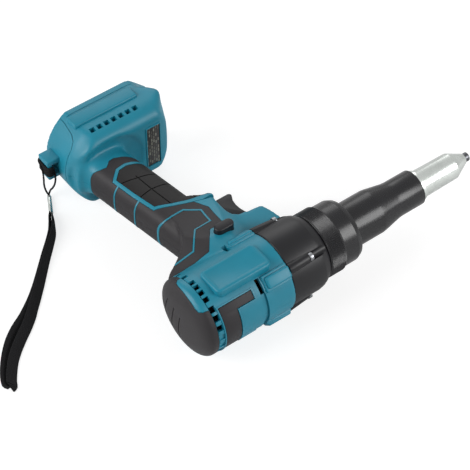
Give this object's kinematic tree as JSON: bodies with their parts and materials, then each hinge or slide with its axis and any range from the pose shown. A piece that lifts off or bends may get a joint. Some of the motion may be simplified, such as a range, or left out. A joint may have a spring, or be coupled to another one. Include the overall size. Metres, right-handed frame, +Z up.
{
  "type": "battery rivet tool",
  "caption": "Battery rivet gun without its battery: pistol-shaped teal and black body that pulls a blind rivet's mandrel back with a motor-driven screw, with a wrist strap.",
  "frame": {"origin": "middle of the tool's outer box, at its lowest plane, the floor that it lies on", "axes": "+X along the barrel to the nose, +Y from the barrel to the foot, +Z up, to the tool's left side"},
  "size_m": [0.4109, 0.2384, 0.074],
  "materials": {
    "teal_plastic": "fine grain",
    "grey_rubber": "soft overmould",
    "black_rubber": "soft overmould",
    "grey_plastic": "fine grain",
    "black_plastic": "fine grain",
    "black_metal": "satin",
    "black_alloy": "black satin coat",
    "bright_steel": "satin zinc",
    "steel": "machined",
    "copper": "bare",
    "circuit_board": "lacquered",
    "plate_film": "blank film",
    "lead_sleeve": "smooth",
    "strap_fabric": "woven"
  },
  "bodies": {
    "tool": {"left_housing": "teal_plastic", "right_housing": "teal_plastic", "rear_cap": "grey_plastic", "left_grip": "grey_rubber", "right_grip": "grey_rubber", "grip_front_pad": "black_rubber", "barrel_top_band": "grey_rubber", "battery_base": "teal_plastic", "terminal_block": "black_plastic", "terminal_blades": "copper", "rating_plate": "plate_film", "control_board": "circuit_board", "trigger_switch": "black_plastic", "gear_housing": "black_alloy", "ring_gear": "steel", "gearbox_plate": "steel", "motor_stator": "steel", "motor_windings": "copper", "rear_bearing": "steel", "front_bearing": "steel", "thrust_bearing": "steel", "housing_screws": "steel", "gear_housing_screws": "steel", "battery_leads": "lead_sleeve", "motor_leads": "copper", "strap_cord": "strap_fabric", "strap_crimp": "bright_steel", "strap_webbing": "strap_fabric", "trigger_spring": "steel"},
    "trigger": {"trigger": "black_plastic"},
    "direction_button": {"direction_button": "black_plastic"},
    "nose_unit": {"nose_housing": "black_alloy", "nozzle_sleeve": "bright_steel"},
    "lock_ring": {"lock_ring": "black_metal"},
    "nosepiece": {"nosepiece": "steel"},
    "rotor": {"rotor_shaft": "steel", "rotor_core": "steel", "cooling_fan": "black_plastic", "motor_pinion": "steel"},
    "first_carrier": {"first_carrier": "steel"},
    "first_planet_a": {"first_planet_a": "steel"},
    "first_planet_b": {"first_planet_b": "steel"},
    "first_planet_c": {"first_planet_c": "steel"},
    "screw": {"second_carrier": "steel", "lead_screw": "steel"},
    "second_planet_a": {"second_planet_a": "steel"},
    "second_planet_b": {"second_planet_b": "steel"},
    "second_planet_c": {"second_planet_c": "steel"},
    "pull_unit": {"drive_nut": "steel", "pull_rod": "steel", "jaw_case": "steel", "jaw_spring": "steel"},
    "jaw_a": {"jaw_a": "steel"},
    "jaw_b": {"jaw_b": "steel"},
    "jaw_c": {"jaw_c": "steel"},
    "jaw_pusher": {"jaw_pusher": "steel"}
  },
  "joints": [
    {"name": "trigger_pull", "type": "slide", "parent": "tool", "child": "trigger", "axis": [-1, 0, 0], "range_m": [0, 0.006], "stiffness_N_per_m": 500, "springref_m": -0.006, "deforming": ["trigger_spring"]},
    {"name": "direction_slide", "type": "slide", "parent": "tool", "child": "direction_button", "axis": [0, 0, -1], "range_m": [0, 0.005]},
    {"name": "lock_ring_turn", "type": "hinge", "parent": "nose_unit", "child": "lock_ring", "pos_m": [-0.00344, -0.08675, 0.037], "axis": [1, 0, 0], "range_deg": [0, 1080]},
    {"name": "nose_slide", "type": "slide", "parent": "tool", "child": "nose_unit", "axis": [1, 0, 0], "range_m": [0, 0.0045]},
    {"name": "nosepiece_slide", "type": "slide", "parent": "nose_unit", "child": "nosepiece", "axis": [1, 0, 0], "range_m": [0, 0.016]},
    {"name": "rotor_turn", "type": "hinge", "parent": "tool", "child": "rotor", "pos_m": [-0.09904, -0.08675, 0.037], "axis": [1, 0, 0], "range_deg": [0, 45000]},
    {"name": "first_carrier_turn", "type": "hinge", "parent": "tool", "child": "first_carrier", "pos_m": [-0.04884, -0.08675, 0.037], "axis": [1, 0, 0], "range_deg": [0, 9001]},
    {"name": "screw_turn", "type": "hinge", "parent": "tool", "child": "screw", "pos_m": [-0.03364, -0.08675, 0.037], "axis": [1, 0, 0], "range_deg": [0, 1801]},
    {"name": "pull_slide", "type": "slide", "parent": "tool", "child": "pull_unit", "axis": [-1, 0, 0], "range_m": [0, 0.02501]},
    {"name": "first_planet_a_turn", "type": "hinge", "parent": "first_carrier", "child": "first_planet_a", "pos_m": [-0.05644, -0.07175, 0.037], "axis": [1, 0, 0], "range_deg": [-24001, 0]},
    {"name": "second_planet_a_turn", "type": "hinge", "parent": "screw", "child": "second_planet_a", "pos_m": [-0.04124, -0.07175, 0.037], "axis": [1, 0, 0], "range_deg": [-4801, 0]},
    {"name": "jaw_a_close", "type": "slide", "parent": "pull_unit", "child": "jaw_a", "axis": [0.9827, -0.185, 0], "range_m": [0, 0.0015]},
    {"name": "first_planet_b_turn", "type": "hinge", "parent": "first_carrier", "child": "first_planet_b", "pos_m": [-0.05644, -0.09425, 0.04999], "axis": [1, 0, 0], "range_deg": [-24001, 0]},
    {"name": "second_planet_b_turn", "type": "hinge", "parent": "screw", "child": "second_planet_b", "pos_m": [-0.04124, -0.09425, 0.04999], "axis": [1, 0, 0], "range_deg": [-4801, 0]},
    {"name": "jaw_b_close", "type": "slide", "parent": "pull_unit", "child": "jaw_b", "axis": [0.9827, 0.0925, -0.1602], "range_m": [0, 0.0015]},
    {"name": "first_planet_c_turn", "type": "hinge", "parent": "first_carrier", "child": "first_planet_c", "pos_m": [-0.05644, -0.09425, 0.02401], "axis": [1, 0, 0], "range_deg": [-24001, 0]},
    {"name": "second_planet_c_turn", "type": "hinge", "parent": "screw", "child": "second_planet_c", "pos_m": [-0.04124, -0.09425, 0.02401], "axis": [1, 0, 0], "range_deg": [-4801, 0]},
    {"name": "jaw_c_close", "type": "slide", "parent": "pull_unit", "child": "jaw_c", "axis": [0.9827, 0.0925, 0.1602], "range_m": [0, 0.0015]},
    {"name": "jaw_pusher_slide", "type": "slide", "parent": "pull_unit", "child": "jaw_pusher", "axis": [1, 0, 0], "range_m": [0, 0.00148], "deforming": ["jaw_spring"]}
  ],
  "couplings": [
    {"joint": "nose_slide", "follows": "lock_ring_turn", "m_per_rad": 0.00023873},
    {"joint": "first_carrier_turn", "follows": "rotor_turn", "ratio": 0.2},
    {"joint": "screw_turn", "follows": "rotor_turn", "ratio": 0.04},
    {"joint": "pull_slide", "follows": "rotor_turn", "m_per_rad": 0.000031831},
    {"joint": "first_planet_a_turn", "follows": "rotor_turn", "ratio": -0.53333},
    {"joint": "second_planet_a_turn", "follows": "rotor_turn", "ratio": -0.10667},
    {"joint": "jaw_a_close", "follows": "rotor_turn", "m_per_rad": 0.0000019099},
    {"joint": "first_planet_b_turn", "follows": "rotor_turn", "ratio": -0.53333},
    {"joint": "second_planet_b_turn", "follows": "rotor_turn", "ratio": -0.10667},
    {"joint": "jaw_b_close", "follows": "rotor_turn", "m_per_rad": 0.0000019099},
    {"joint": "first_planet_c_turn", "follows": "rotor_turn", "ratio": -0.53333},
    {"joint": "second_planet_c_turn", "follows": "rotor_turn", "ratio": -0.10667},
    {"joint": "jaw_c_close", "follows": "rotor_turn", "m_per_rad": 0.0000019099},
    {"joint": "jaw_pusher_slide", "follows": "rotor_turn", "m_per_rad": 0.0000018769}
  ]
}
